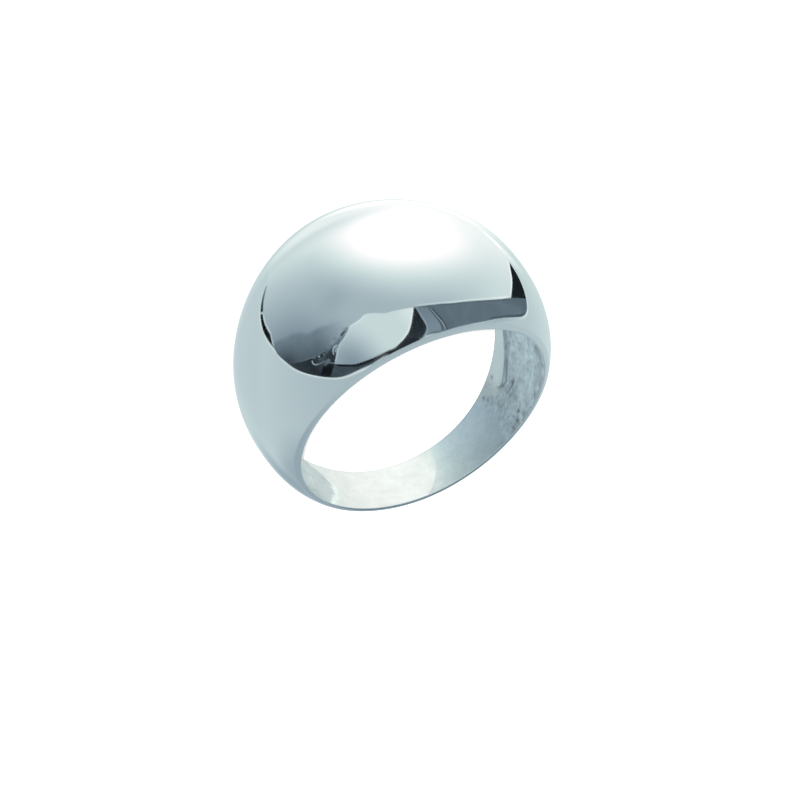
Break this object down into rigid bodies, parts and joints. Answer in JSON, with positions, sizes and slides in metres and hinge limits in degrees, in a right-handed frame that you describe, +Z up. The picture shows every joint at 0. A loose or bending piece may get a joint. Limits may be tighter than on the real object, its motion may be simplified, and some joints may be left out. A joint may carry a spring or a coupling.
{
  "type": "dome ring",
  "caption": "Plain polished silver dome ring: a broad domed front that narrows smoothly to a slim shank, scooped hollow behind the dome, lying on its side.",
  "frame": {"origin": "centre of the bounding box, on the surface that the ring lies on", "axes": "+Z up out of that surface, -Y towards the dome's front, +X across the ring; the finger hole's axis leans 17.5 degrees from +Z towards +Y"},
  "size_m": [0.0206, 0.0214, 0.0143],
  "materials": {
    "silver": "polished"
  },
  "bodies": {
    "root": {"dome_ring": "silver"}
  },
  "joints": []
}
